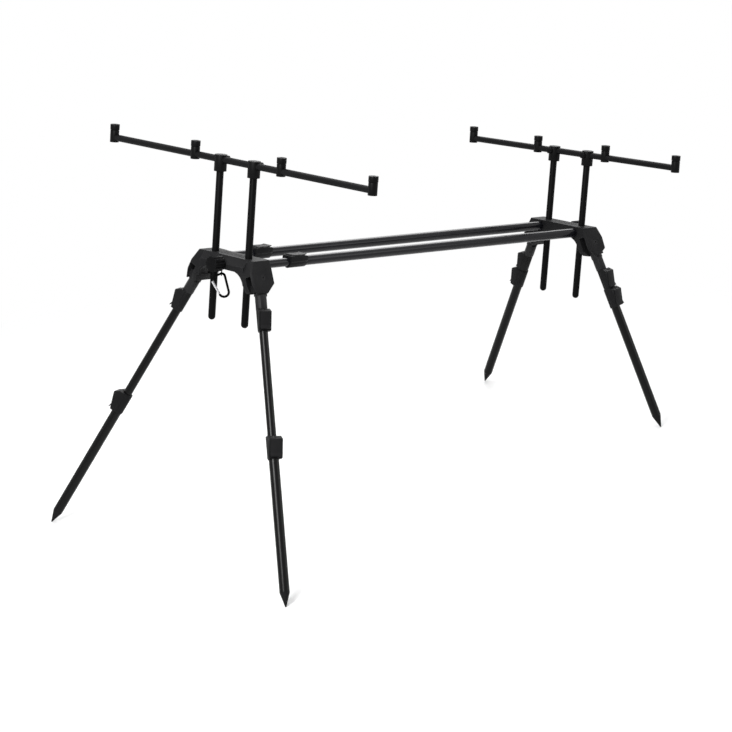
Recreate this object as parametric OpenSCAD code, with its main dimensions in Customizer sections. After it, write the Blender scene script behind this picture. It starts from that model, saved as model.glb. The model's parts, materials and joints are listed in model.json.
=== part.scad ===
// Rod pod: two moulded heads joined by a pair of telescopic bars, four telescopic legs with flip locks,
// and at each end a buzz bar with alarm sockets on two sliding posts.
// The x axis runs from the front head to the rear head, y to the left and z up.
// The four spikes stand on z = 0.

/* [Heads] */
// Distance between the post lines of the two heads
pod_length = 1122; // [1000:1:1250]
// Distance between the two posts of a head
post_spacing = 105; // [98:1:120]
// How far each main bar lies outside its post
bar_offset = 3; // [1:0.5:5]
// How far each leg pivot lies outside its post
pivot_offset = 36.5; // [35:0.5:42]
// How far the leg pivots lie below the main bars
pivot_drop = 23; // [21:0.5:26]
// Height of the top face above the main bars
head_top = 15.5; // [14:0.5:18]
// Height of the bridge between the two clevises
bridge_h = 28.5; // [27:0.5:32]
// Depth of the bridge on the outer side of the posts
bridge_front = 30.5; // [28:0.5:31]
// Depth of the bridge on the inner side of the posts
bridge_back = 29; // [27:0.5:34]
// Radius of the arch under the bridge
arch_r = 34; // [28:1:36]
// Depth of the sockets that hold the main bars
socket_depth = 17; // [12:0.5:17]
// Number of grooves in the top face
top_grooves = 5; // [3:1:6]

/* [Clevises] */
// Width of the slot for the leg knuckle
slot_w = 16.6; // [14:0.2:18]
// Thickness of the outer cheek
outer_cheek = 4.7; // [4:0.1:6]
// Thickness of the inner cheek
inner_cheek = 12; // [10:0.5:13]
// Height of the slot's roof above the pivot
slot_roof = 16; // [14:0.5:18]
// Bevel round the outer cheek
cheek_bevel = 3; // [1:0.5:4]
// Radius of the pivot bolts
bolt_r = 3; // [2.5:0.1:3.5]
// Radius of the bolt heads
bolt_head_r = 5; // [4.5:0.1:6]
// Height of the bolt heads and nuts
bolt_head_h = 2.2; // [1.5:0.1:3]

/* [Legs] */
// Outward cant of the planes that the legs fold in
cant = 25; // [22:0.5:28]
// Outward rake of the front legs on their stops
front_rake = 12.2; // [8:0.1:14]
// Outward rake of the rear legs on their stops
rear_rake = 9.8; // [8:0.1:14]
// How far the front lower legs are pulled out
front_extension = 231; // [150:1:240]
// How far the rear lower legs are pulled out
rear_extension = 0; // [0:1:240]
// Distance from the pivot to the knuckle's lower end
knuckle_l = 69; // [66:1:80]
// Radius of the knuckle's round end
knuckle_r = 12; // [11:0.2:12.6]
// Length of the lower leg from its lock's top to the spike's point
lower_l = 363; // [330:1:380]
// Diameter of the inner leg tubes
inner_leg_d = 16; // [15.6:0.1:16.2]
// Diameter of the middle leg tubes
middle_leg_d = 19; // [18.8:0.1:19.2]
// Diameter of the lower leg tubes
lower_leg_d = 22; // [21.8:0.1:22.6]
// Length of the spike's cone
spike_l = 31; // [24:1:40]
// Radius of the spike's blunt point
spike_tip_r = 1.6; // [1:0.1:2.5]
// Length of the plug that holds the spike in its tube
plug_l = 18; // [12:1:26]
// Wall of every tube
tube_wall = 1.2; // [1:0.05:1.3]

/* [Flip locks] */
// Length of a lock collar
lock_h = 48; // [47:1:52]
// Wall of the collar round its tube
lock_wall = 2; // [1.6:0.1:2.6]
// How much wider a lock is than its tube
lock_spread = 9; // [8:0.5:10]
// How far a leg lever's top stands out from its collar
leg_lock_reach = 13; // [11:0.5:15]
// How far a bar lever's top stands out from its collar
bar_lock_reach = 4.5; // [4.5:0.1:5]
// How far a bar lever's foot stands out from its collar
bar_lever_heel = 3.3; // [3.3:0.1:3.6]
// Thickness of a bar lever against a leg lever's
bar_lever_share = 0.62; // [0.6:0.01:0.64]
// How far a leg lever's foot stands out from its collar
lever_heel = 4.6; // [4.5:0.1:5.5]
// Length of a lever from the collar's top to its foot
lever_l = 46; // [43:0.5:46.5]
// Thickness of a leg lever
lever_t = 4; // [3:0.1:4.2]
// How far the foot of a leg lever flares out
tab_l = 2.4; // [1:0.1:3]
// Radius of a leg lever's barrel
barrel_r = 4; // [3.5:0.1:4.2]
// Radius of a leg lever's trunnions
trunnion_r = 1.8; // [1.5:0.1:2.2]
// Turn of the front legs' locks towards the front
front_lock_turn = 22; // [0:1:40]
// Turn of the rear legs' locks towards the rear
rear_lock_turn = 0; // [0:1:40]

/* [Main bars] */
// Diameter of the outer bars
outer_bar_d = 22; // [21.8:0.1:22.6]
// Diameter of the inner bars
inner_bar_d = 19; // [18.8:0.1:19.2]
// Length of inner bar that shows between the head and the locks
bar_exposed = 85; // [50:1:150]
// Length of the inner bars
inner_bar_l = 560; // [400:1:700]

/* [Posts and buzz bars] */
// Diameter of the posts
post_d = 16; // [15.6:0.1:16.2]
// Length of the posts
post_l = 343; // [300:1:380]
// How far the front posts reach below the main bars
front_post_drop = 137.5; // [90:1:180]
// How far the rear posts reach below the main bars
rear_post_drop = 165.5; // [90:1:180]
// Diameter of the buzz bars
buzz_d = 15; // [14:0.1:16]
// Distance between the outer alarm sockets of the front buzz bar
front_span = 810; // [700:1:900]
// Distance between the outer alarm sockets of the rear buzz bar
rear_span = 642; // [540:1:750]
// Roll of the rear buzz bar, its left end down
rear_buzz_roll = 1.4; // [0:0.1:2]
// Diameter of a T clamp
clamp_d = 27.5; // [25:0.5:30]
// Height of a T clamp above the middle of the buzz bar
clamp_top = 10.5; // [9.5:0.5:12]
// Length of a T clamp below the buzz bar
clamp_drop = 25.5; // [22:0.5:30]
// Radius of the thumb screws' heads
screw_head_r = 7; // [6:0.1:8]
// Length of the thumb screws' heads
screw_head_l = 8; // [6:0.5:10]

/* [Alarm sockets] */
// Diameter of a socket's barrel
socket_d = 20; // [18.4:0.1:21]
// Height of a socket's barrel
socket_h = 27; // [25:0.5:29]
// How far a socket's barrel reaches below the middle of the buzz bar
socket_low = 10.5; // [9:0.5:12]
// Diameter of a lock ring
ring_d = 21; // [19:0.1:23]
// Height of a lock ring with its neck
ring_h = 13; // [10:0.5:16]
// Bore of the socket thread
thread_d = 8.4; // [7.8:0.1:8.8]

/* [Knobs] */
// Radius of the clamp knobs
knob_r = 17; // [14:0.5:19]
// Length of the clamp knobs
knob_l = 28; // [20:0.5:30]
// How far the knob's axis lies below the main bars
knob_drop = 1; // [0:0.5:4]
// Radius of the knob's stud
stud_r = 4; // [3:0.1:4.5]
// Number of flutes round a knob
knob_flutes = 10; // [8:1:12]

/* [Snap hook] */
// Radius of the hook's wire
hook_wire = 2.6; // [2.2:0.1:2.8]
// Radius of the arcs at the hook's upper end
hook_top_r = 7; // [6:0.5:8]
// Radius of the arc at the hook's lower end
hook_low_r = 10.5; // [9:0.5:12]
// Turn of the hanging hook about the vertical
hook_turn = -45; // [-60:1:-30]
// Inner radius of the eye that the hook hangs in
eye_r = 3.6; // [3.5:0.1:4.2]
// Radius of the eye's wire
eye_wire = 1.2; // [1:0.1:1.5]

/* [Hidden] */
$fn = 48;
fit = 0.05;
slide_gap = 0.3;
rest_gap = 0.3;
end_gap = 7;
past = 1;
through = 60;
front = 0;
rear = 1;
left = 0;
right = 1;
end_names = ["front", "rear"];
side_names = ["left", "right"];
leg_pieces = ["knuckle", "inner_tube", "middle_tube", "upper_lock", "upper_lever", "lower_tube",
    "lower_lock", "lower_lever", "spike"];
end_pieces = ["head", "clamp_knob", "pivot_bolts", "posts", "bar_clamps", "clamp_screws", "buzz_bar",
    "alarm_sockets"];
shared_pieces = ["inner_bars", "outer_bars", "bar_locks", "left_bar_lever", "right_bar_lever", "hook_eye",
    "hook_body", "hook_gate"];

// Finishes
moulded = [0.16, 0.16, 0.17];
satin_black = [0.10, 0.10, 0.11];
bare_steel = [0.72, 0.73, 0.75];

// Places in a head
post_y = post_spacing / 2;
bar_y = post_y + bar_offset;
pivot_y = post_y + pivot_offset;
bridge_low = head_top - bridge_h;
haunch_in = 8;
haunch_drop = 16;
arch_over = 2.5;
stop_t = 6;
stop_low = 32;
stop_h = 15;
groove_margin = 8;
groove_end = 12;
groove_depth = 1;
groove_share = 0.35;
groove_start = 0.2;
stud_l = 16;
stud_room = 4;
eye_stem = 8;
key_r = 2.4;
key_depth = 1.5;
head_low = -54;
front_slope = 2;
front_shoulder = 17;
slot_lip = 6;
cheek_out = slot_w / 2 + outer_cheek;
cheek_in = slot_w / 2 + inner_cheek;
socket_end = bridge_back - socket_depth;
clevis_top = 55;
clevis_low = 35;
function outer_corner(e) = e == front ? [[-26, -clevis_low], [-33, -12]] : [[-4, -clevis_low], [-33, -17]];
function clevis_outline(e) = concat([[-12, clevis_top], [31, clevis_top], [33, 18], [31, -15],
    [6, -clevis_low]], outer_corner(e), [[-32, 12]]);
function cheek_middle_y(z) = pivot_y
    - (slot_w / 2 + inner_cheek / 2 + (z + pivot_drop) * sin(cant)) / cos(cant);
bridge_half = cheek_middle_y(bridge_low);

// Stations down a leg, measured from the pivot
shoulder_at = 38;
stub_proud = 0.6;
stub_sides = 12;
upper_lock_at = knuckle_l + rest_gap;
stack_at = upper_lock_at + lock_h + rest_gap;
lip = 4;
knuckle_seat = 42;
function extension(e) = e == front ? front_extension : rear_extension;
function rake(e) = e == front ? front_rake : rear_rake;
function lock_turn(e) = e == front ? front_lock_turn : rear_lock_turn;
function lower_lock_at(e) = stack_at + extension(e);
function point_at(e) = lower_lock_at(e) + lower_l - spike_tip_r;
middle_end = stack_at + lower_l - spike_l - plug_l - end_gap;
inner_end = middle_end - end_gap;

// Stance: the pitch of the whole frame that puts all four points on the ground
function point_x(e) = (e == front ? -1 : 1) * point_at(e) * sin(rake(e)) + (e == front ? 0 : pod_length);
function point_z(e) = -pivot_drop - point_at(e) * cos(rake(e)) * cos(cant);
pitch = atan((point_z(rear) - point_z(front)) / (point_x(rear) - point_x(front)));
function ground_x(x, z) = cos(pitch) * x + sin(pitch) * z;
function ground_z(x, z) = cos(pitch) * z - sin(pitch) * x;
knob_gap = 2;
knob_flute_r = 3;
knob_neck = 0.5;
knob_end = bridge_front + knob_gap + knob_l;
x_low = ground_x(point_x(front), point_z(front)) - spike_tip_r;
x_high = ground_x(pod_length + knob_end, -knob_drop + knob_r);
shift_x = -(x_low + x_high) / 2;
shift_z = spike_tip_r - ground_z(point_x(front), point_z(front));

// Heights of the buzz bars above the main bars
post_top_gap = 3;
function post_drop(e) = e == front ? front_post_drop : rear_post_drop;
function post_top(e) = post_l - post_drop(e);
function buzz_z(e) = post_top(e) + post_top_gap + buzz_d / 2;
function span(e) = e == front ? front_span : rear_span;
function buzz_roll(e) = e == front ? 0 : -rear_buzz_roll;
function side_sign(s) = s == left ? 1 : -1;
function clamp_z(e, s) = buzz_z(e) + side_sign(s) * post_y * tan(buzz_roll(e));

// Hook places, in the plane of the hook
eye_drop = 6;
eye_at = [-21, 7, bridge_low - eye_r - 2 * eye_wire - eye_drop];
hook_hang = eye_r - hook_wire - rest_gap;
hook_centres = [[0, -hook_top_r], [3, -42], [-15, -13]];
hook_radii = [hook_top_r, hook_low_r, hook_top_r];
function tangent_turn(i, j) = let(d = hook_centres[j] - hook_centres[i])
    atan2(d.y, d.x) + acos((hook_radii[i] - hook_radii[j]) / norm(d));
function rim(i, turn) = hook_centres[i] + hook_radii[i] * [cos(turn), sin(turn)];
function clockwise(from, to) = (from - to + 720) % 360;
gate_turn = tangent_turn(1, 2);
gate_low = rim(1, gate_turn);
gate_high = rim(2, gate_turn);
gate_l = norm(gate_high - gate_low);
gate_lean = atan2(gate_high.y - gate_low.y, gate_high.x - gate_low.x);
gate_step = 0.2;
gate_r = hook_wire - gate_step;
gate_pin_r = 0.8;
gate_pin_at = gate_r + 3 * gate_step;
gate_end_gap = 2 * gate_step;
gate_tang_t = 1.4;
gate_slot = 5;
gate_reach = 4;
tang_w = 2.4;
tang_root = 0.5;

// Frames
module pod_frame() translate([shift_x, 0, shift_z]) rotate([0, pitch, 0]) children();

module end_frame(e) pod_frame()
    if (e == front) children();
    else translate([pod_length, 0, 0]) mirror([1, 0, 0]) children();

module side_frame(s) mirror([0, s, 0]) children();

module clevis_frame(s) side_frame(s) translate([0, pivot_y, -pivot_drop]) rotate([cant, 0, 0]) children();

module leg_frame(e, s) end_frame(e) clevis_frame(s) rotate([0, rake(e), 0]) children();

module leg_lock_frame(e, s, at) leg_frame(e, s) translate([0, 0, -at])
    rotate([0, 0, 90 + lock_turn(e)]) children();

module bar_frame(s) pod_frame() side_frame(s) translate([0, bar_y, 0]) children();

module bar_lock_frame(s) bar_frame(s) translate([bridge_back + bar_exposed, 0, 0])
    rotate([0, -90, 0]) children();

module buzz_frame(e) end_frame(e) translate([0, 0, buzz_z(e)]) rotate([buzz_roll(e), 0, 0]) children();

module hook_frame() translate([shift_x + ground_x(eye_at.x, eye_at.z), eye_at.y,
    shift_z + ground_z(eye_at.x, eye_at.z) - hook_hang])
        rotate([0, 0, hook_turn]) rotate([90, 0, 0]) children();

// Shared shapes
module tube(d, l) difference() {
    cylinder(d = d, h = l);
    translate([0, 0, -past]) cylinder(d = d - 2 * tube_wall, h = l + 2 * past);
}

module along_y(r, l) rotate([90, 0, 0]) cylinder(r = r, h = l, center = true);

module along_x(r, l) rotate([0, 90, 0]) cylinder(r = r, h = l);

module upright_slab(points, t) rotate([90, 0, 0]) linear_extrude(t, center = true) polygon(points);

flute_lift = 0.45;
module fluted(r, l, flutes, flute_r) difference() {
    along_x(r, l);
    for (i = [0:flutes - 1])
        rotate([i * 360 / flutes, 0, 0]) translate([-past, 0, r + flute_r * flute_lift])
            along_x(flute_r, l + 2 * past);
}

// Heads
module clevis_block(e) {
    inset = clevis_outline(e) * (1 - cheek_bevel / clevis_low);
    hull() {
        translate([0, (cheek_out - cheek_bevel - cheek_in) / 2, 0])
            upright_slab(clevis_outline(e), cheek_out - cheek_bevel + cheek_in);
        translate([0, (cheek_out - cheek_in) / 2, 0]) upright_slab(inset, cheek_out + cheek_in);
    }
}

module haunch() rotate([90, 0, 90]) translate([0, 0, -bridge_front])
    linear_extrude(bridge_front + bridge_back) {
        haunch_from = post_y - haunch_in;
        haunch_low = -pivot_drop - haunch_drop;
        arch_to = bridge_half + arch_over;
        difference() {
            polygon([[haunch_from, 0], [cheek_middle_y(0), 0], [cheek_middle_y(haunch_low), haunch_low],
                [haunch_from, haunch_low]]);
            translate([arch_to - arch_r, bridge_low - arch_r]) circle(arch_r);
            translate([0, bridge_low - through]) square([arch_to - arch_r, through]);
            translate([0, bridge_low - arch_r - through]) square([arch_to, through]);
        }
    }

module stop_web(e) rotate([0, rake(e), 0])
    translate([-knuckle_r - rest_gap - stop_t, -slot_w / 2 - past, -stop_low])
        cube([stop_t, slot_w + 2 * past, stop_h]);

module head_block(e) {
    difference() {
        union() {
            upright_slab([[-bridge_front, bridge_low], [-bridge_front, -front_slope],
                [-front_shoulder, head_top], [-front_shoulder, head_top + past],
                [bridge_back, head_top + past], [bridge_back, bridge_low]], 2 * bridge_half);
            for (s = [left, right]) {
                side_frame(s) haunch();
                clevis_frame(s) clevis_block(e);
            }
        }
        for (s = [left, right])
            clevis_frame(s) {
                translate([-knuckle_r - 2 * rest_gap, -slot_w / 2, -through])
                    cube([2 * through, slot_w, through + slot_roof]);
                translate([-through, -slot_w / 2, -through]) cube([through, slot_w, through + slot_lip]);
            }
        translate([-through, -2 * through, head_top]) cube([2 * through, 4 * through, through]);
        translate([-through, -2 * through, head_low - through]) cube([2 * through, 4 * through, through]);
    }
    for (s = [left, right]) clevis_frame(s) stop_web(e);
}

module head(e) {
    bar_r = (e == front ? inner_bar_d : outer_bar_d) / 2 + fit;
    groove_pitch = (front_shoulder + bridge_back - 2 * groove_margin) / top_grooves;
    color(moulded) end_frame(e) difference() {
        head_block(e);
        for (s = [left, right]) side_frame(s) {
            translate([0, post_y, -through]) cylinder(r = post_d / 2 + fit, h = 2 * through);
            translate([socket_end, bar_y, 0]) along_x(bar_r, through);
        }
        for (s = [left, right]) clevis_frame(s) {
            along_y(bolt_r + fit, 2 * through);
            translate([0, cheek_out, 0]) along_y(bolt_head_r + fit, 2 * bolt_head_h);
            translate([0, -cheek_in - through / 2 + bolt_head_h, 0]) along_y(bolt_head_r + fit, through);
        }
        translate([-bridge_front - past, 0, -knob_drop]) along_x(stud_r + fit, past + stud_l + stud_room);
        if (e == front) translate([eye_at.x, eye_at.y, bridge_low - past])
            cylinder(r = eye_wire + fit, h = eye_stem + past);
        for (i = [0:top_grooves - 1])
            translate([-front_shoulder + groove_margin + groove_pitch * (i + groove_start),
                groove_end - post_y, head_top - groove_depth])
                cube([groove_pitch * groove_share, post_spacing - 2 * groove_end, groove_depth + past]);
    }
}

module clamp_knob(e) {
    color(moulded) end_frame(e) translate([-knob_end, 0, -knob_drop]) {
        fluted(knob_r, knob_l, knob_flutes, knob_flute_r);
        along_x(knob_r * knob_neck, knob_l + knob_gap - rest_gap);
        along_x(stud_r, knob_l + knob_gap + stud_l);
    }
}

module pivot_bolts(e) color(bare_steel) end_frame(e) for (s = [left, right]) clevis_frame(s) {
    nut_face = -cheek_in + bolt_head_h;
    difference() {
        union() {
            translate([0, (cheek_out - cheek_in) / 2, 0]) along_y(bolt_r, cheek_out + cheek_in);
            translate([0, cheek_out - bolt_head_h / 2, 0]) along_y(bolt_head_r, bolt_head_h);
        }
        translate([0, cheek_out, 0]) rotate([90, 0, 0])
            cylinder(r = key_r, h = 2 * key_depth, $fn = 6, center = true);
    }
    difference() {
        translate([0, nut_face, 0]) rotate([90, 0, 0]) cylinder(r = bolt_head_r, h = bolt_head_h, $fn = 6);
        along_y(bolt_r + fit, 2 * through);
    }
}

// Main bars and their locks
module inner_bars() color(satin_black) for (s = [left, right]) bar_frame(s)
    translate([socket_end, 0, 0]) rotate([0, 90, 0]) tube(inner_bar_d, inner_bar_l);

outer_bar_from = bridge_back + bar_exposed + lip;
module outer_bars() color(satin_black) for (s = [left, right]) bar_frame(s)
    translate([outer_bar_from, 0, 0]) rotate([0, 90, 0])
        tube(outer_bar_d, pod_length - socket_end - outer_bar_from);

module bar_locks() color(moulded) for (s = [left, right])
    bar_lock_frame(s) lock_collar(outer_bar_d, inner_bar_d, bar_lock_reach, bar_lever_heel, bar_lever_share);

module bar_lever(s) color(moulded) bar_lock_frame(s)
    lock_lever(outer_bar_d, bar_lock_reach, bar_lever_heel, bar_lever_share);

// Flip locks: the collar's axis is z with its top at z = 0, and the lever is on the +x side
lever_proud = 1.5;
ear = 2.5;
lever_room = 0.4;
barrel_cover = 6.5;
barrel_inset = 0.5;
top_flat = 1;
top_fall = 9;
foot_room = 3;
lever_swing = 9;
slit_w = 1.6;
slit_foot = 6;
tab_bend = 8.5;
tab_t = 1.6;
function lock_r(tube_d) = tube_d / 2 + lock_wall;
function lock_w(tube_d) = tube_d + lock_spread;
function lever_w(tube_d) = lock_w(tube_d) - 2 * ear - 2 * slide_gap;
function pivot_depth(share) = (barrel_r + barrel_cover) * share;
function lever_pivot_x(tube_d, reach, share) = lock_r(tube_d) + reach - barrel_r * share - barrel_inset;

module lock_collar(tube_d, slide_d, reach, heel, share) {
    r = lock_r(tube_d);
    top = r + reach;
    foot = r + heel;
    room_in = lever_t * share + lever_room;
    depth = pivot_depth(share);
    half = lock_w(tube_d) / 2;
    room_w = lever_w(tube_d) + 2 * slide_gap;
    difference() {
        union() {
            translate([0, 0, -lock_h]) cylinder(r = r, h = lock_h);
            intersection() {
                upright_slab([[0, 0], [r + top_flat, 0], [top - lever_proud, -top_fall * share],
                    [foot - lever_proud, -lever_l + tab_bend], [r, -lock_h], [0, -lock_h]], 2 * half);
                translate([0, 0, -lock_h]) linear_extrude(lock_h) polygon([[0, -r], [half - r, -half],
                    [top, -half], [top, half], [half - r, half], [0, r]]);
            }
        }
        translate([0, 0, -lock_h - past]) cylinder(d = tube_d + 2 * fit, h = lock_h + past - lip);
        translate([0, 0, -lock_h]) cylinder(d = slide_d + 2 * slide_gap, h = lock_h + past);
        upright_slab([[top - room_in, past], [top + lever_swing, past],
            [foot + lever_swing, -lever_l - foot_room], [foot - room_in, -lever_l - foot_room],
            [foot - room_in, -lever_l + tab_bend], [top - room_in, -depth]], room_w);
        translate([lever_pivot_x(tube_d, reach, share), 0, -depth]) {
            along_y(barrel_r * share + lever_room, room_w);
            along_y(trunnion_r * share + fit, 2 * half + 2 * past);
        }
        translate([0, -slit_w / 2, -lever_l + slit_foot]) cube([top, slit_w, lever_l]);
    }
}

module lock_lever(tube_d, reach, heel, share) {
    top = lock_r(tube_d) + reach;
    foot = lock_r(tube_d) + heel;
    t = lever_t * share;
    tab = tab_l * share;
    depth = pivot_depth(share);
    translate([lever_pivot_x(tube_d, reach, share), 0, -depth]) {
        along_y(barrel_r * share, lever_w(tube_d));
        along_y(trunnion_r * share, lock_w(tube_d));
    }
    upright_slab([[top - lever_room, -depth], [foot, -lever_l + tab_bend], [foot + tab, -lever_l],
        [foot + tab - tab_t * share, -lever_l], [foot - t, -lever_l + tab_bend], [top - t, -depth]],
        lever_w(tube_d));
}

// Legs
module knuckle(e, s) color(moulded) leg_frame(e, s) difference() {
    tang_t = slot_w - 2 * slide_gap;
    union() {
        along_y(knuckle_r, tang_t);
        translate([-knuckle_r, -tang_t / 2, -shoulder_at - past])
            cube([2 * knuckle_r, tang_t, shoulder_at + past]);
        translate([0, 0, -knuckle_l]) rotate([0, 0, 180 / stub_sides])
            cylinder(r = knuckle_r + stub_proud, h = knuckle_l - shoulder_at, $fn = stub_sides);
    }
    along_y(bolt_r + fit, through);
    translate([0, 0, -knuckle_l - past])
        cylinder(d = inner_leg_d + 2 * fit, h = knuckle_l + past - knuckle_seat);
}

module inner_tube(e, s) color(satin_black) leg_frame(e, s)
    translate([0, 0, -inner_end]) tube(inner_leg_d, inner_end - knuckle_seat);

module middle_tube(e, s) color(satin_black) leg_frame(e, s)
    translate([0, 0, -middle_end]) tube(middle_leg_d, middle_end - upper_lock_at - lip);

module upper_lock(e, s) color(moulded) leg_lock_frame(e, s, upper_lock_at)
    lock_collar(middle_leg_d, inner_leg_d, leg_lock_reach, lever_heel, 1);

module upper_lever(e, s) color(moulded) leg_lock_frame(e, s, upper_lock_at)
    lock_lever(middle_leg_d, leg_lock_reach, lever_heel, 1);

module lower_tube(e, s) color(satin_black) leg_frame(e, s)
    translate([0, 0, -lower_lock_at(e) - lower_l + spike_l]) tube(lower_leg_d, lower_l - spike_l - lip);

module lower_lock(e, s) color(moulded) leg_lock_frame(e, s, lower_lock_at(e))
    lock_collar(lower_leg_d, middle_leg_d, leg_lock_reach, lever_heel, 1);

module lower_lever(e, s) color(moulded) leg_lock_frame(e, s, lower_lock_at(e))
    lock_lever(lower_leg_d, leg_lock_reach, lever_heel, 1);

module spike(e, s) color(moulded) leg_frame(e, s) translate([0, 0, -point_at(e)]) {
    sphere(spike_tip_r);
    cylinder(r1 = spike_tip_r, r2 = lower_leg_d / 2, h = spike_l - spike_tip_r);
    translate([0, 0, spike_l - spike_tip_r - past])
        cylinder(d = lower_leg_d - 2 * tube_wall - 2 * fit, h = plug_l + past);
}

// Posts, clamps and buzz bars
module posts(e) color(satin_black) end_frame(e) for (s = [left, right]) side_frame(s)
    translate([0, post_y, -post_drop(e)]) difference() {
        union() {
            translate([0, 0, post_d / 2]) cylinder(d = post_d, h = post_l - post_d / 2);
            translate([0, 0, post_d / 2]) sphere(d = post_d);
        }
        translate([0, 0, post_d / 2]) cylinder(d = post_d - 2 * tube_wall, h = post_l);
    }

module bar_clamps(e) color(moulded) end_frame(e) for (s = [left, right]) side_frame(s)
    translate([0, post_y, clamp_z(e, s)]) difference() {
        union() {
            translate([0, 0, -clamp_drop]) cylinder(d = clamp_d, h = clamp_drop + clamp_top);
            along_x(screw_head_r - boss_step, clamp_d / 2 + boss_l);
        }
        rotate([side_sign(s) * buzz_roll(e), 0, 0]) along_y(buzz_d / 2 + fit, through);
        translate([0, 0, -clamp_drop - past])
            cylinder(d = post_d + 2 * fit, h = clamp_drop + past + post_top(e) - clamp_z(e, s));
        along_x(screw_r + fit, through);
    }

boss_step = 1;
boss_l = 1.5;
screw_seat = clamp_d / 2 + boss_l - buzz_d / 2 - fit;
screw_r = 2.5;
screw_flutes = 8;
screw_flute_r = 1.8;
module clamp_screws(e) color(moulded) end_frame(e) for (s = [left, right]) side_frame(s)
    translate([buzz_d / 2 + fit, post_y, clamp_z(e, s)]) {
        along_x(screw_r, screw_seat + past);
        translate([screw_seat + rest_gap, 0, 0])
            fluted(screw_head_r, screw_head_l, screw_flutes, screw_flute_r);
    }

socket_bite = 5;
function buzz_half(e) = (span(e) - socket_d) / 2 + socket_bite;
module buzz_bar(e) color(satin_black) buzz_frame(e) translate([0, -buzz_half(e), 0])
    rotate([-90, 0, 0]) tube(buzz_d, 2 * buzz_half(e));

ring_neck = 1;
ring_step = 4;
module alarm_sockets(e) {
    thread_low = buzz_d / 2 + past;
    bar_hole_at = socket_d / 2 - socket_bite + through / 2;
    color(moulded) buzz_frame(e) for (i = [-1.5:1:1.5]) {
        outer = abs(i) > 1;
        translate([0, i * span(e) / 3, 0]) {
            difference() {
                translate([0, 0, -socket_low]) cylinder(d = socket_d, h = socket_h);
                if (outer) translate([0, -sign(i) * bar_hole_at, 0]) along_y(buzz_d / 2 + fit, through);
                else along_y(buzz_d / 2 + fit, through);
                translate([0, 0, thread_low]) cylinder(d = thread_d, h = socket_h);
            }
            translate([0, 0, socket_h - socket_low + fit]) difference() {
                union() {
                    cylinder(d = ring_d - ring_step, h = ring_neck + past);
                    translate([0, 0, ring_neck]) cylinder(d = ring_d, h = ring_h - ring_neck);
                }
                translate([0, 0, -past]) cylinder(d = thread_d, h = ring_h + 2 * past);
            }
        }
    }
}

// Snap hook
module hook_eye() color(bare_steel) pod_frame() translate(eye_at) {
    rotate([0, 0, hook_turn + 90]) rotate([90, 0, 0])
        rotate_extrude() translate([eye_r + eye_wire, 0]) circle(eye_wire);
    translate([0, 0, eye_r + eye_wire]) cylinder(r = eye_wire, h = eye_drop + eye_stem);
}

module hook_arc(i, from, to) translate(hook_centres[i]) rotate([0, 0, to])
    rotate_extrude(angle = clockwise(from, to)) translate([hook_radii[i], 0]) circle(hook_wire);

module hook_rod(from, to) {
    d = to - from;
    translate(from) rotate([0, 90, atan2(d.y, d.x)]) translate([0, 0, -tang_root])
        cylinder(r = hook_wire - fit, h = norm(d) + 2 * tang_root);
}

module gate_frame() translate(gate_low) rotate([0, 0, gate_lean]) children();

module hook_body() color(satin_black) hook_frame() {
    top_turn = tangent_turn(2, 0);
    spine_turn = tangent_turn(0, 1);
    hook_arc(2, gate_turn, top_turn);
    hook_rod(rim(2, top_turn), rim(0, top_turn));
    hook_arc(0, top_turn, spine_turn);
    hook_rod(rim(0, spine_turn), rim(1, spine_turn));
    hook_arc(1, spine_turn, gate_turn);
    gate_frame() {
        translate([-tang_root, -tang_w / 2, -gate_tang_t / 2])
            cube([gate_pin_at + tang_w, tang_w, gate_tang_t]);
        translate([gate_pin_at, 0, 0]) cylinder(r = gate_pin_r, h = 2 * gate_r, center = true);
    }
}

module hook_gate() color(bare_steel) hook_frame() gate_frame() difference() {
    union() {
        translate([gate_pin_at, 0, 0]) sphere(gate_r);
        translate([gate_pin_at, 0, 0]) along_x(gate_r, gate_l - gate_pin_at - gate_end_gap);
    }
    translate([gate_pin_at - gate_reach, -gate_reach, -gate_tang_t / 2 - slide_gap])
        cube([gate_reach + gate_slot, 2 * gate_reach, gate_tang_t + 2 * slide_gap]);
    translate([gate_pin_at, 0, 0]) cylinder(r = gate_pin_r + fit, h = 2 * gate_reach, center = true);
}

inner_bars();
outer_bars();
bar_locks();
bar_lever(left);  // left_bar_lever
bar_lever(right);  // right_bar_lever
hook_eye();
hook_body();
hook_gate();
for (e = [front, rear]) {
    head(e);
    clamp_knob(e);
    pivot_bolts(e);
    posts(e);
    bar_clamps(e);
    clamp_screws(e);
    buzz_bar(e);
    alarm_sockets(e);
    for (s = [left, right]) {
        leg = str(end_names[e], "_", side_names[s], "_");
        knuckle(e, s);
        inner_tube(e, s);
        middle_tube(e, s);
        upper_lock(e, s);
        upper_lever(e, s);
        lower_tube(e, s);
        lower_lock(e, s);
        lower_lever(e, s);
        spike(e, s);
    }
}
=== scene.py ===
import json
import math

import bmesh
import bpy
from mathutils import Matrix, Vector


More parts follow.
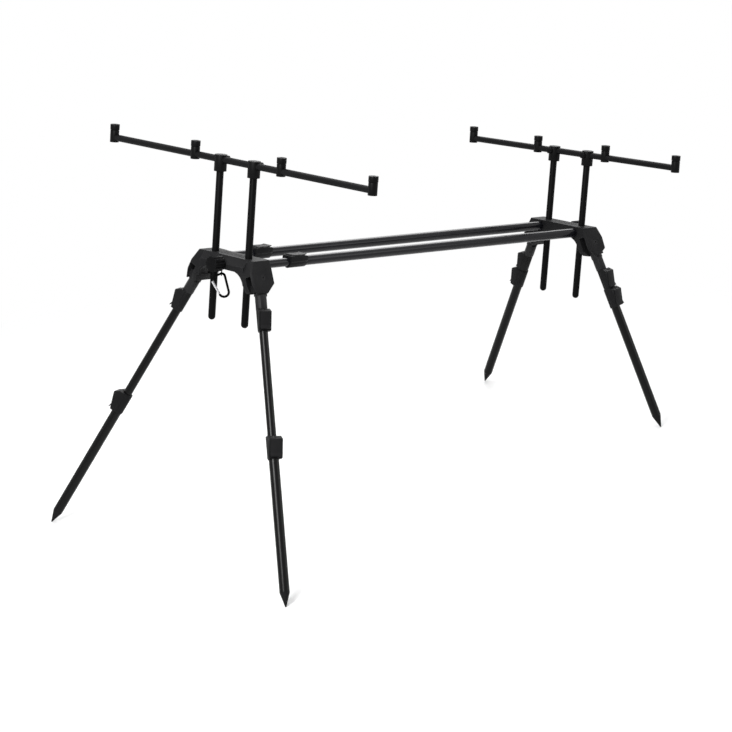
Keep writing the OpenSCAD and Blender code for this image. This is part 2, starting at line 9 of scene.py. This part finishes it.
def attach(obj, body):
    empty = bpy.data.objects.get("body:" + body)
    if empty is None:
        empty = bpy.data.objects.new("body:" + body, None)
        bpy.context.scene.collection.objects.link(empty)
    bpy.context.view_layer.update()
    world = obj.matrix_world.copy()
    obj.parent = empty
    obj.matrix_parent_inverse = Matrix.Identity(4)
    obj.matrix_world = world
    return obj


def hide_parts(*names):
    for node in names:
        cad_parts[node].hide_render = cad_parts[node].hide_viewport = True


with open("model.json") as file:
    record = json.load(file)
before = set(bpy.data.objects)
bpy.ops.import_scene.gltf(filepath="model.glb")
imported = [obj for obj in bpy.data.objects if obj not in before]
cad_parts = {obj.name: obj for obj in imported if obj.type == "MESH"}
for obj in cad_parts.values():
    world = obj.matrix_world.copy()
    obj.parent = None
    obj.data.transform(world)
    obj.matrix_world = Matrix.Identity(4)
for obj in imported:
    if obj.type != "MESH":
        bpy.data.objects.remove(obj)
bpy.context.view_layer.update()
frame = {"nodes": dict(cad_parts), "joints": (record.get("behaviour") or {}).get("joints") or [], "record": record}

nodes = frame["nodes"]
joints = {joint["name"]: joint for joint in frame["joints"]}
bodyOf = {node: body for body, members in frame["record"]["behaviour"]["bodies"].items() for node in members}
ends = ("front", "rear")
sides = ("left", "right")
print("frame loaded,", len(nodes), "pieces")

# The pod's own axes, read from its joints: x along the main bars, z along the posts
pivotDrop = 0.023  # leg pivots below the main bars
podX = Vector(joints["bar_extend"]["axis"]).normalized()
podZ = Vector(joints["front_rest_lift"]["axis"]).normalized()
podY = podZ.cross(podX)
frontPivots = [Vector(joints[f"front_{side}_leg_fold"]["pos_m"]) for side in sides]
podOrigin = (frontPivots[0] + frontPivots[1]) / 2 + podZ * pivotDrop
podMatrix = Matrix.Translation(podOrigin) @ Matrix((podX, podY, podZ)).transposed().to_4x4()


# Shader maths: a socket that takes part in Python sums
class Signal:
    def __init__(self, finish, socket):
        self.finish = finish
        self.socket = socket

    def combine(self, operation, first, second):
        return self.finish.add("ShaderNodeMath", {"operation": operation}, {0: first, 1: second})

    def __add__(self, other):
        return self.combine("ADD", self, other)

    def __radd__(self, other):
        return self.combine("ADD", other, self)

    def __sub__(self, other):
        return self.combine("SUBTRACT", self, other)

    def __rsub__(self, other):
        return self.combine("SUBTRACT", other, self)

    def __mul__(self, other):
        return self.combine("MULTIPLY", self, other)

    def __rmul__(self, other):
        return self.combine("MULTIPLY", other, self)


class Finish:
    bevelSamples = 4
    noiseMiddle = 0.5

    def __init__(self, name, tree=None):
        self.material = None
        if tree is None:
            self.material = bpy.data.materials.new(name)
            self.material.use_nodes = True
            tree = self.material.node_tree
        self.tree = tree
        self.tree.nodes.clear()

    def add(self, kind, settings=None, inputs=None, output=0):
        node = self.tree.nodes.new(kind)
        for key, value in (settings or {}).items():
            setattr(node, key, value)
        for key, value in (inputs or {}).items():
            if isinstance(value, Signal):
                self.tree.links.new(value.socket, node.inputs[key])
            else:
                node.inputs[key].default_value = value
        return Signal(self, node.outputs[output]) if node.outputs else None

    def place(self):
        return self.add("ShaderNodeTexCoord", output="Object")

    def noise(self, vector, pattern):  # a pattern is a scale and a detail
        scale, detail = pattern
        return self.add("ShaderNodeTexNoise", {}, {"Vector": vector, "Scale": scale, "Detail": detail})

    def swing(self, noise, amount):  # a noise's swing to both sides of its middle
        return (noise - self.noiseMiddle) * amount

    def band(self, value, limits):  # 0 up to the first limit, 1 from the second on, soft between
        low, high = limits
        stops = {"Value": value, "From Min": low, "From Max": high}
        return self.add("ShaderNodeMapRange", {"interpolation_type": "SMOOTHSTEP"}, stops)

    def mixColour(self, factor, first, second):
        return self.add("ShaderNodeMix", {"data_type": "RGBA"}, {0: factor, 6: first, 7: second}, 2)

    def dot(self, first, second):
        return self.add("ShaderNodeVectorMath", {"operation": "DOT_PRODUCT"}, {0: first, 1: second}, "Value")

    def edges(self, radius):  # 0 on flats, towards 1 on a corner
        rounded = self.add("ShaderNodeBevel", {"samples": self.bevelSamples}, {"Radius": radius})
        plain = self.add("ShaderNodeNewGeometry", output="Normal")
        return 1 - self.dot(rounded, plain)

    def along(self, vector, axis, stretch):  # draws a pattern out into streaks along an axis
        far = self.dot(vector, axis) * (1 / stretch - 1)
        slip = self.add("ShaderNodeVectorMath", {"operation": "SCALE"}, {0: axis, "Scale": far})
        return self.add("ShaderNodeVectorMath", {"operation": "ADD"}, {0: vector, 1: slip})

    def bump(self, height, relief):  # a relief is a depth in metres and a strength
        depth, strength = relief
        return self.add("ShaderNodeBump", {}, {"Height": height, "Distance": depth, "Strength": strength})

    def surface(self, colour, roughness, normal, constants):
        sockets = {"Base Color": colour, "Roughness": roughness, "Normal": normal, **constants}
        shader = self.add("ShaderNodeBsdfPrincipled", {}, sockets)
        self.add("ShaderNodeOutputMaterial", {}, {"Surface": shader})
        return self.material


def tone(grey, tint=0.0):  # a near-neutral colour, a little blue for tint above 0
    return (grey, grey, grey * (1 + tint), 1)


# Moulded black plastic, pebbled, with corners rubbed lighter
moulding = {"grain": (1500, 2), "pebbles": (0.00012, 0.35), "grainRough": 0.12,
            "mottle": (14, 4), "cloudBand": (0.3, 0.7), "mottleRough": 0.16,
            "dark": 0.82, "darkTint": 0.06, "light": 1.16, "lightTint": 0.04,
            "scuff": (220, 5), "scuffBand": (0.62, 0.75), "scuffRough": 0.05,
            "rubRadius": 0.0012, "rubBand": (0.02, 0.22), "rubTint": 0.03, "rubSmooth": 0.08,
            "rubPlain": 0.55, "rubScuffed": 0.45}
plastics = {"head": {"grey": 0.011, "roughness": 0.46, "rubbed": 0.07, "gloss": 0.05},
            # The knob's plastic is set darker than the head's: painted shade for the shadow that falls on the knob
            # and in its flutes
            "knob": {"grey": 0.0045, "roughness": 0.5, "rubbed": 0.03, "gloss": 0.03},
            # The knuckle's plastic is set lighter than the lock's and the head's: painted highlight for the lit
            # front facet of the knuckle
            "knuckle": {"grey": 0.014, "roughness": 0.4, "rubbed": 0.035, "gloss": 0.1},
            "lock": {"grey": 0.0085, "roughness": 0.45, "rubbed": 0.035, "gloss": 0.06},
            "lever": {"grey": 0.01, "roughness": 0.42, "rubbed": 0.03, "gloss": 0.08},
            "socket": {"grey": 0.003, "roughness": 0.44, "rubbed": 0.012, "gloss": 0.07}}


def mouldedFinish(name, grey, roughness, rubbed, gloss):
    finish = Finish(name)
    place = finish.place()
    grain = finish.noise(place, moulding["grain"])
    mottle = finish.noise(place, moulding["mottle"])
    scuff = finish.band(finish.noise(place, moulding["scuff"]), moulding["scuffBand"])
    rub = finish.band(finish.edges(moulding["rubRadius"]), moulding["rubBand"])
    cloud = finish.band(mottle, moulding["cloudBand"])
    dark = tone(grey * moulding["dark"], moulding["darkTint"])
    light = tone(grey * moulding["light"], moulding["lightTint"])
    body = finish.mixColour(cloud, dark, light)
    bare = rub * (moulding["rubPlain"] + moulding["rubScuffed"] * scuff)
    worn = finish.mixColour(bare, body, tone(rubbed, moulding["rubTint"]))
    uneven = finish.swing(grain, moulding["grainRough"]) + finish.swing(mottle, moulding["mottleRough"])
    rough = roughness + uneven - rub * moulding["rubSmooth"] + scuff * moulding["scuffRough"]
    pebble = finish.bump(grain, moulding["pebbles"])
    return finish.surface(worn, rough, pebble, {"Specular IOR Level": gloss})


plastic = {piece: mouldedFinish(piece + "Plastic", **look) for piece, look in plastics.items()}

# Black anodised tube, drawn lengthwise, with fine scratches
drawing = {"streak": (900, 3), "lines": (0.00004, 0.25), "streakRough": 0.1, "stretch": 40,
           "mottle": (9, 4), "cloudBand": (0.3, 0.7), "mottleRough": 0.08, "dark": 0.85, "light": 1.15,
           "scratch": (315, 6), "scratchBand": (0.68, 0.76), "scratchRough": 0.06,
           "scratchLight": 2.4, "scratchShare": 0.5}
tubes = {"bar": {"grey": 0.0065, "roughness": 0.17, "gloss": 0.16, "tint": 0.28},
         "post": {"grey": 0.0025, "roughness": 0.42, "gloss": 0.05, "tint": 0.06},
         "buzz": {"grey": 0.006, "roughness": 0.42, "gloss": 0.06, "tint": 0.06},
         "leg": {"grey": 0.0008, "roughness": 0.26, "gloss": 0.155, "tint": 0.06}}


def tubeFinish(name, axis, grey, roughness, gloss, tint):
    finish = Finish(name)
    place = finish.place()
    drawn = finish.along(place, tuple(axis), drawing["stretch"])
    streak = finish.noise(drawn, drawing["streak"])
    mottle = finish.noise(place, drawing["mottle"])
    scratch = finish.band(finish.noise(drawn, drawing["scratch"]), drawing["scratchBand"])
    cloud = finish.band(mottle, drawing["cloudBand"])
    body = finish.mixColour(cloud, tone(grey * drawing["dark"], tint), tone(grey * drawing["light"], tint))
    bright = tone(grey * drawing["scratchLight"], tint)
    worn = finish.mixColour(scratch * drawing["scratchShare"], body, bright)
    uneven = finish.swing(streak, drawing["streakRough"]) + finish.swing(mottle, drawing["mottleRough"])
    rough = roughness + uneven + scratch * drawing["scratchRough"]
    lines = finish.bump(streak, drawing["lines"])
    return finish.surface(worn, rough, lines, {"Specular IOR Level": gloss})


barBlack = tubeFinish("barBlack", podX, **tubes["bar"])
postBlack = tubeFinish("postBlack", podZ, **tubes["post"])
buzzBlack = tubeFinish("buzzBlack", podY, **tubes["buzz"])
legBlack = {}
for end in ends:
    for side in sides:
        legAxis = Vector(joints[f"{end}_{side}_leg_middle_slide"]["axis"])
        legBlack[(end, side)] = tubeFinish(f"legBlack_{end}_{side}", legAxis, **tubes["leg"])

# Steel of the hook's gate, bright, and of the pivot bolts, blackened
steel = {"grain": (0, 0, 1), "streak": (2600, 3), "stretch": 12, "lines": (0.00003, 0.3), "streakRough": 0.2,
         "mottle": (120, 3), "dark": 0.8, "darkTint": 0.02, "lightTint": 0.03}
gateLook = {"grey": 0.78, "roughness": 0.26}
boltLook = {"grey": 0.018, "roughness": 0.45}


def steelFinish(name, grey, roughness):
    finish = Finish(name)
    place = finish.place()
    drawn = finish.along(place, steel["grain"], steel["stretch"])
    streak = finish.noise(drawn, steel["streak"])
    mottle = finish.noise(place, steel["mottle"])
    dark = tone(grey * steel["dark"], steel["darkTint"])
    body = finish.mixColour(mottle, dark, tone(grey, steel["lightTint"]))
    rough = roughness + finish.swing(streak, steel["streakRough"])
    lines = finish.bump(streak, steel["lines"])
    return finish.surface(body, rough, lines, {"Metallic": 1.0})


hookSteel = steelFinish("hookSteel", **gateLook)
boltSteel = steelFinish("boltSteel", **boltLook)

# Black lacquer of the hook and its eye, rubbed in spots
lacquer = {"peel": (700, 2), "skin": (0.00004, 0.2), "mottle": (60, 3), "mottleRough": 0.2,
           "rub": (260, 5), "rubBand": (0.66, 0.74), "rubShare": 0.4, "rubLight": 5, "rubRough": 0.2}
hookLook = {"grey": 0.003, "roughness": 0.6, "gloss": 0.02}


def lacquerFinish(name, grey, roughness, gloss):
    finish = Finish(name)
    place = finish.place()
    peel = finish.noise(place, lacquer["peel"])
    mottle = finish.noise(place, lacquer["mottle"])
    rub = finish.band(finish.noise(place, lacquer["rub"]), lacquer["rubBand"])
    body = finish.mixColour(rub * lacquer["rubShare"], tone(grey), tone(grey * lacquer["rubLight"]))
    rough = roughness + finish.swing(mottle, lacquer["mottleRough"]) + rub * lacquer["rubRough"]
    skin = finish.bump(peel, lacquer["skin"])
    return finish.surface(body, rough, skin, {"Specular IOR Level": gloss})


hookBlack = lacquerFinish("hookBlack", **hookLook)
print("finishes made,", len(bpy.data.materials), "materials")

# The finish of each piece, by the end of its name
finishes = {"_head": plastic["head"], "_knob": plastic["knob"], "_knuckle": plastic["knuckle"],
            "_lock": plastic["lock"], "_locks": plastic["lock"], "_spike": plastic["lock"],
            "_lever": plastic["lever"], "_sockets": plastic["socket"], "_clamps": plastic["socket"],
            "_screws": plastic["socket"], "_bars": barBlack, "_posts": postBlack, "_buzz_bar": buzzBlack,
            "_bolts": boltSteel, "_gate": hookSteel, "_eye": hookBlack, "_body": hookBlack}


def finishFor(node):
    if node.endswith("_tube"):
        end, side = node.split("_")[:2]
        return legBlack[(end, side)]
    return next(finish for ending, finish in finishes.items() if node.endswith(ending))


# How far each kind of piece has its corners rounded, in metres, and how: angles in degrees
rounding = {"head": 0.0009, "clamp_knob": 0.0008, "lock": 0.0007, "locks": 0.0007, "lever": 0.0006,
            "knuckle": 0.0009, "bar_clamps": 0.0008, "clamp_screws": 0.0005, "alarm_sockets": 0.0005,
            "spike": 0.0006, "posts": 0.0003}
bevel = {"weld": 2e-6, "flatAngle": 0.6, "cornerAngle": 25, "smoothAngle": 30, "segments": 2, "profile": 0.5}


def softened(node, width):  # a copy of a piece with its corners rounded
    mesh = nodes[node].data.copy()
    work = bmesh.new()
    work.from_mesh(mesh)
    bmesh.ops.remove_doubles(work, verts=work.verts, dist=bevel["weld"])
    flat = math.radians(bevel["flatAngle"])
    bmesh.ops.dissolve_limit(work, angle_limit=flat, verts=work.verts, edges=work.edges)
    bent = math.radians(bevel["cornerAngle"])
    sharp = [edge for edge in work.edges if edge.is_manifold and edge.calc_face_angle() > bent]
    shape = {"segments": bevel["segments"], "profile": bevel["profile"], "affect": "EDGES"}
    bmesh.ops.bevel(work, geom=sharp, offset=width, clamp_overlap=True, **shape)
    work.to_mesh(mesh)
    work.free()
    mesh.shade_smooth()
    mesh.set_sharp_from_angle(angle=math.radians(bevel["smoothAngle"]))
    piece = bpy.data.objects.new(node + "_piece", mesh)
    bpy.context.scene.collection.objects.link(piece)
    mesh.materials.clear()
    mesh.materials.append(finishFor(node))
    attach(piece, bodyOf[node])
    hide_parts(node)


for node in nodes:
    kind = next((kind for kind in rounding if node.endswith("_" + kind)), None)
    if kind is None:
        for materialSlot in nodes[node].material_slots:
            materialSlot.material = finishFor(node)
    else:
        softened(node, rounding[kind])
print("pieces dressed")

# Camera, solved from the photograph: angles in degrees, lengths in metres along the pod's axes
shot = {"lens": 129.73, "sensor": 36.0, "azimuth": 43.37, "elevation": 11.895, "roll": 4.03,
        "aim": (0.5613, 0.0, 0.0), "offset": (0.0996, -0.28259, 6.10517), "farthest": 100}
azimuth = math.radians(shot["azimuth"])
elevation = math.radians(shot["elevation"])
roll = math.radians(shot["roll"])
level = Vector((math.cos(azimuth), math.sin(azimuth), 0))
ahead = level * math.cos(elevation) - Vector((0, 0, math.sin(elevation)))
across = Vector((math.sin(azimuth), -math.cos(azimuth), 0))
down = ahead.cross(across)
rolledAcross = across * math.cos(roll) - down * math.sin(roll)
rolledDown = across * math.sin(roll) + down * math.cos(roll)
offset = Vector(shot["offset"])
stand = Vector(shot["aim"]) - rolledAcross * offset.x - rolledDown * offset.y - ahead * offset.z
cameraData = bpy.data.cameras.new("camera")
cameraData.lens = shot["lens"]
cameraData.sensor_width = shot["sensor"]
cameraData.clip_end = shot["farthest"]
camera = bpy.data.objects.new("camera", cameraData)
bpy.context.scene.collection.objects.link(camera)
cameraAxes = Matrix((rolledAcross, -rolledDown, -ahead)).transposed().to_4x4()
camera.matrix_world = podMatrix @ Matrix.Translation(stand) @ cameraAxes
bpy.context.scene.camera = camera
print("camera set")

# Floor and world: white to rays that look at them, a softer light on the pod
floorLook = {"width": 40.0, "grey": 0.92, "roughness": 0.8, "fade": (0.75, 1.7)}
ambient = 0.34
seeing = ("Is Camera Ray", "Is Glossy Ray", "Is Transmission Ray")


def seenRays(finish):  # 1 for rays that look at the backdrop, 0 for rays that light the pod
    direct, mirrored, through = [finish.add("ShaderNodeLightPath", output=ray) for ray in seeing]
    return direct + mirrored + through


floorMesh = bpy.data.meshes.new("floor")
half = floorLook["width"] / 2
corners = [(-half, -half, 0), (half, -half, 0), (half, half, 0), (-half, half, 0)]
floorMesh.from_pydata(corners, [], [(0, 1, 2, 3)])
floor = bpy.data.objects.new("floor", floorMesh)
bpy.context.scene.collection.objects.link(floor)
paper = Finish("floor")
reach = paper.add("ShaderNodeVectorMath", {"operation": "LENGTH"}, {0: paper.place()}, "Value")
faded = paper.band(reach, floorLook["fade"]) * seenRays(paper)
sheetLook = {"Base Color": tone(floorLook["grey"]), "Roughness": floorLook["roughness"]}
sheet = paper.add("ShaderNodeBsdfPrincipled", {}, sheetLook)
white = paper.add("ShaderNodeEmission", {}, {"Color": tone(1.0), "Strength": 1.0})
ground = paper.add("ShaderNodeMixShader", {}, {0: faded, 1: sheet, 2: white})
paper.add("ShaderNodeOutputMaterial", {}, {"Surface": ground})
floorMesh.materials.append(paper.material)

world = bpy.data.worlds.new("studio")
world.use_nodes = True
bpy.context.scene.world = world
air = Finish("studio", world.node_tree)
brightness = ambient + (1 - ambient) * seenRays(air)
glow = air.add("ShaderNodeBackground", {}, {"Color": tone(1.0), "Strength": brightness})
air.add("ShaderNodeOutputWorld", {}, {"Surface": glow})

# Lamps: places and sizes in metres, power in watts. The last one draws the bright strip along the main bars
lamps = {
    "ceilingLamp": {"place": (0.2, 0.4, 2.9), "aim": (0, 0, 0.4), "size": (3.0, 2.4), "power": 62},
    "frontLamp": {"place": (-2.3, -0.72, 2.0), "aim": (-0.45, -0.1, 0.35), "size": (1.0, 1.0), "power": 60},
    "rightLamp": {"place": (1.8, -2.26, 1.55), "aim": (0, -0.1, 0.5), "size": (1.6, 1.6), "power": 13},
    "barLamp": {"place": (2.2, 1.5, 1.9), "aim": (0, 0, 0.55), "size": (1.8, 1.4), "power": 30},
}


def softLamp(name, place, aim, size, power):
    data = bpy.data.lights.new(name, "AREA")
    data.shape = "RECTANGLE"
    data.size, data.size_y = size
    data.energy = power
    lamp = bpy.data.objects.new(name, data)
    bpy.context.scene.collection.objects.link(lamp)
    lamp.location = place
    lamp.rotation_mode = "QUATERNION"
    lamp.rotation_quaternion = (Vector(aim) - Vector(place)).to_track_quat("-Z", "Y")


for name, lamp in lamps.items():
    softLamp(name, **lamp)
bpy.context.scene.view_settings.view_transform = "Standard"
print("studio set")
